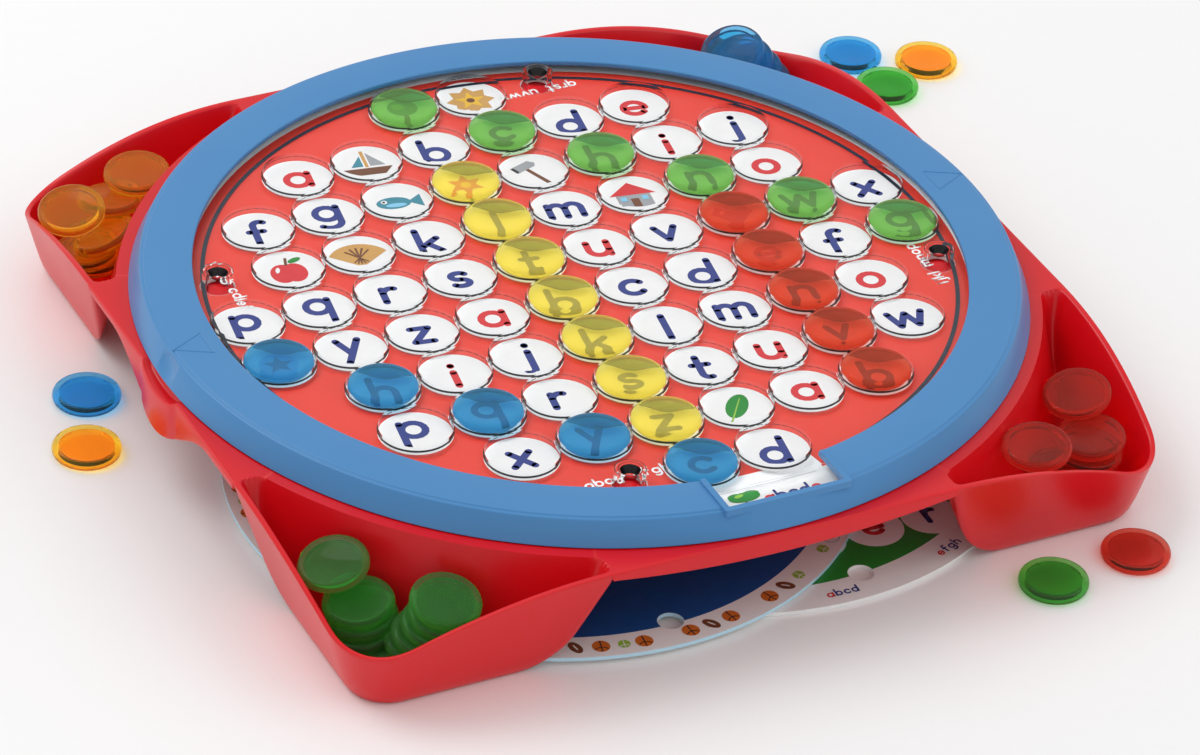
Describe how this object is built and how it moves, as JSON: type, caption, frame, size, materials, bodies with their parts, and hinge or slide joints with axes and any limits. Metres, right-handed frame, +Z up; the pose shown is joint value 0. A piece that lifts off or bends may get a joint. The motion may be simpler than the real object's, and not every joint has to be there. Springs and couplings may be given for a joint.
{
  "type": "word board game",
  "caption": "Word board game: a square tray with token pockets at its corners, a turning letter disc under a clear plate with wells, a lift-off ring and loose tokens.",
  "frame": {"origin": "centre of the tray, on the table top that the tray, the lower spare disc and the loose tokens rest on", "axes": "+Z up, -Y to the side with the ring's window, +X to the right seen from that side"},
  "size_m": [0.3537, 0.299, 0.0435],
  "materials": {
    "tray_red": "moulded satin",
    "ring_blue": "moulded satin",
    "clear_plate": "clear",
    "card_red": "printed",
    "card_green": "printed",
    "card_blue": "printed",
    "token_green": "translucent",
    "token_yellow": "translucent",
    "token_red": "translucent",
    "token_blue": "translucent"
  },
  "bodies": {
    "tray": {"tray": "tray_red", "spare_disc_green": "card_green", "spare_disc_blue": "card_blue", "heap_yellow": "token_yellow", "heap_green": "token_green", "heap_red": "token_red", "heap_blue": "token_blue", "pocket_yellow_1": "token_yellow", "pocket_yellow_2": "token_yellow", "pocket_green_1": "token_green", "pocket_red_1": "token_red", "pocket_blue_1": "token_blue", "pocket_blue_2": "token_blue"},
    "ring_frame": {"ring_frame": "ring_blue", "ring_skirt": "ring_blue"},
    "turntable": {"clear_plate": "clear_plate", "card_disc": "card_red", "collar_front": "clear_plate", "collar_right": "clear_plate", "collar_back": "clear_plate", "collar_left": "clear_plate"},
    "token_green_1": {"token_green_1": "token_green"},
    "token_green_2": {"token_green_2": "token_green"},
    "token_green_3": {"token_green_3": "token_green"},
    "token_green_4": {"token_green_4": "token_green"},
    "token_green_5": {"token_green_5": "token_green"},
    "token_green_6": {"token_green_6": "token_green"},
    "token_yellow_1": {"token_yellow_1": "token_yellow"},
    "token_yellow_2": {"token_yellow_2": "token_yellow"},
    "token_yellow_3": {"token_yellow_3": "token_yellow"},
    "token_yellow_4": {"token_yellow_4": "token_yellow"},
    "token_yellow_5": {"token_yellow_5": "token_yellow"},
    "token_yellow_6": {"token_yellow_6": "token_yellow"},
    "token_yellow_7": {"token_yellow_7": "token_yellow"},
    "token_red_1": {"token_red_1": "token_red"},
    "token_red_2": {"token_red_2": "token_red"},
    "token_red_3": {"token_red_3": "token_red"},
    "token_red_4": {"token_red_4": "token_red"},
    "token_red_5": {"token_red_5": "token_red"},
    "token_blue_1": {"token_blue_1": "token_blue"},
    "token_blue_2": {"token_blue_2": "token_blue"},
    "token_blue_3": {"token_blue_3": "token_blue"},
    "token_blue_4": {"token_blue_4": "token_blue"},
    "token_blue_5": {"token_blue_5": "token_blue"},
    "loose_blue_left": {"loose_blue_left": "token_blue"},
    "loose_yellow_left": {"loose_yellow_left": "token_yellow"},
    "loose_blue_back": {"loose_blue_back": "token_blue"},
    "loose_green_back": {"loose_green_back": "token_green"},
    "loose_yellow_back": {"loose_yellow_back": "token_yellow"},
    "loose_green_front": {"loose_green_front": "token_green"},
    "loose_red_front": {"loose_red_front": "token_red"},
    "pocket_yellow_3": {"pocket_yellow_3": "token_yellow"},
    "pocket_yellow_4": {"pocket_yellow_4": "token_yellow"},
    "pocket_green_2": {"pocket_green_2": "token_green"},
    "pocket_green_3": {"pocket_green_3": "token_green"},
    "pocket_red_2": {"pocket_red_2": "token_red"},
    "pocket_red_3": {"pocket_red_3": "token_red"},
    "pocket_blue_3": {"pocket_blue_3": "token_blue"}
  },
  "joints": [
    {"name": "ring_lift", "type": "slide", "parent": "tray", "child": "ring_frame", "axis": [0, 0, 1], "range_m": [0, 0.06]},
    {"name": "disc_turn", "type": "hinge", "parent": "tray", "child": "turntable", "pos_m": [0, 0, 0.0395], "axis": [0, 0, 1], "continuous": true},
    {"name": "lift_token_green_1", "type": "slide", "parent": "turntable", "child": "token_green_1", "axis": [0, 0, 1], "range_m": [0, 0.03]},
    {"name": "lift_token_green_2", "type": "slide", "parent": "turntable", "child": "token_green_2", "axis": [0, 0, 1], "range_m": [0, 0.03]},
    {"name": "lift_token_green_3", "type": "slide", "parent": "turntable", "child": "token_green_3", "axis": [0, 0, 1], "range_m": [0, 0.03]},
    {"name": "lift_token_green_4", "type": "slide", "parent": "turntable", "child": "token_green_4", "axis": [0, 0, 1], "range_m": [0, 0.03]},
    {"name": "lift_token_green_5", "type": "slide", "parent": "turntable", "child": "token_green_5", "axis": [0, 0, 1], "range_m": [0, 0.03]},
    {"name": "lift_token_green_6", "type": "slide", "parent": "turntable", "child": "token_green_6", "axis": [0, 0, 1], "range_m": [0, 0.03]},
    {"name": "lift_token_yellow_1", "type": "slide", "parent": "turntable", "child": "token_yellow_1", "axis": [0, 0, 1], "range_m": [0, 0.03]},
    {"name": "lift_token_yellow_2", "type": "slide", "parent": "turntable", "child": "token_yellow_2", "axis": [0, 0, 1], "range_m": [0, 0.03]},
    {"name": "lift_token_yellow_3", "type": "slide", "parent": "turntable", "child": "token_yellow_3", "axis": [0, 0, 1], "range_m": [0, 0.03]},
    {"name": "lift_token_yellow_4", "type": "slide", "parent": "turntable", "child": "token_yellow_4", "axis": [0, 0, 1], "range_m": [0, 0.03]},
    {"name": "lift_token_yellow_5", "type": "slide", "parent": "turntable", "child": "token_yellow_5", "axis": [0, 0, 1], "range_m": [0, 0.03]},
    {"name": "lift_token_yellow_6", "type": "slide", "parent": "turntable", "child": "token_yellow_6", "axis": [0, 0, 1], "range_m": [0, 0.03]},
    {"name": "lift_token_yellow_7", "type": "slide", "parent": "turntable", "child": "token_yellow_7", "axis": [0, 0, 1], "range_m": [0, 0.03]},
    {"name": "lift_token_red_1", "type": "slide", "parent": "turntable", "child": "token_red_1", "axis": [0, 0, 1], "range_m": [0, 0.03]},
    {"name": "lift_token_red_2", "type": "slide", "parent": "turntable", "child": "token_red_2", "axis": [0, 0, 1], "range_m": [0, 0.03]},
    {"name": "lift_token_red_3", "type": "slide", "parent": "turntable", "child": "token_red_3", "axis": [0, 0, 1], "range_m": [0, 0.03]},
    {"name": "lift_token_red_4", "type": "slide", "parent": "turntable", "child": "token_red_4", "axis": [0, 0, 1], "range_m": [0, 0.03]},
    {"name": "lift_token_red_5", "type": "slide", "parent": "turntable", "child": "token_red_5", "axis": [0, 0, 1], "range_m": [0, 0.03]},
    {"name": "lift_token_blue_1", "type": "slide", "parent": "turntable", "child": "token_blue_1", "axis": [0, 0, 1], "range_m": [0, 0.03]},
    {"name": "lift_token_blue_2", "type": "slide", "parent": "turntable", "child": "token_blue_2", "axis": [0, 0, 1], "range_m": [0, 0.03]},
    {"name": "lift_token_blue_3", "type": "slide", "parent": "turntable", "child": "token_blue_3", "axis": [0, 0, 1], "range_m": [0, 0.03]},
    {"name": "lift_token_blue_4", "type": "slide", "parent": "turntable", "child": "token_blue_4", "axis": [0, 0, 1], "range_m": [0, 0.03]},
    {"name": "lift_token_blue_5", "type": "slide", "parent": "turntable", "child": "token_blue_5", "axis": [0, 0, 1], "range_m": [0, 0.03]},
    {"name": "lift_loose_blue_left", "type": "slide", "parent": "tray", "child": "loose_blue_left", "axis": [0, 0, 1], "range_m": [0, 0.02]},
    {"name": "lift_loose_yellow_left", "type": "slide", "parent": "tray", "child": "loose_yellow_left", "axis": [0, 0, 1], "range_m": [0, 0.03]},
    {"name": "lift_loose_blue_back", "type": "slide", "parent": "tray", "child": "loose_blue_back", "axis": [0, 0, 1], "range_m": [0, 0.03]},
    {"name": "lift_loose_green_back", "type": "slide", "parent": "tray", "child": "loose_green_back", "axis": [0, 0, 1], "range_m": [0, 0.03]},
    {"name": "lift_loose_yellow_back", "type": "slide", "parent": "tray", "child": "loose_yellow_back", "axis": [0, 0, 1], "range_m": [0, 0.03]},
    {"name": "lift_loose_green_front", "type": "slide", "parent": "tray", "child": "loose_green_front", "axis": [0, 0, 1], "range_m": [0, 0.03]},
    {"name": "lift_loose_red_front", "type": "slide", "parent": "tray", "child": "loose_red_front", "axis": [0, 0, 1], "range_m": [0, 0.03]},
    {"name": "lift_pocket_yellow_3", "type": "slide", "parent": "tray", "child": "pocket_yellow_3", "axis": [0, 0, 1], "range_m": [0, 0.04]},
    {"name": "lift_pocket_yellow_4", "type": "slide", "parent": "tray", "child": "pocket_yellow_4", "axis": [0, 0, 1], "range_m": [0, 0.04]},
    {"name": "lift_pocket_green_2", "type": "slide", "parent": "tray", "child": "pocket_green_2", "axis": [0, 0, 1], "range_m": [0, 0.04]},
    {"name": "lift_pocket_green_3", "type": "slide", "parent": "tray", "child": "pocket_green_3", "axis": [0, 0, 1], "range_m": [0, 0.04]},
    {"name": "lift_pocket_red_2", "type": "slide", "parent": "tray", "child": "pocket_red_2", "axis": [0, 0, 1], "range_m": [0, 0.04]},
    {"name": "lift_pocket_red_3", "type": "slide", "parent": "tray", "child": "pocket_red_3", "axis": [0, 0, 1], "range_m": [0, 0.04]},
    {"name": "lift_pocket_blue_3", "type": "slide", "parent": "tray", "child": "pocket_blue_3", "axis": [0, 0, 1], "range_m": [0, 0.04]}
  ]
}
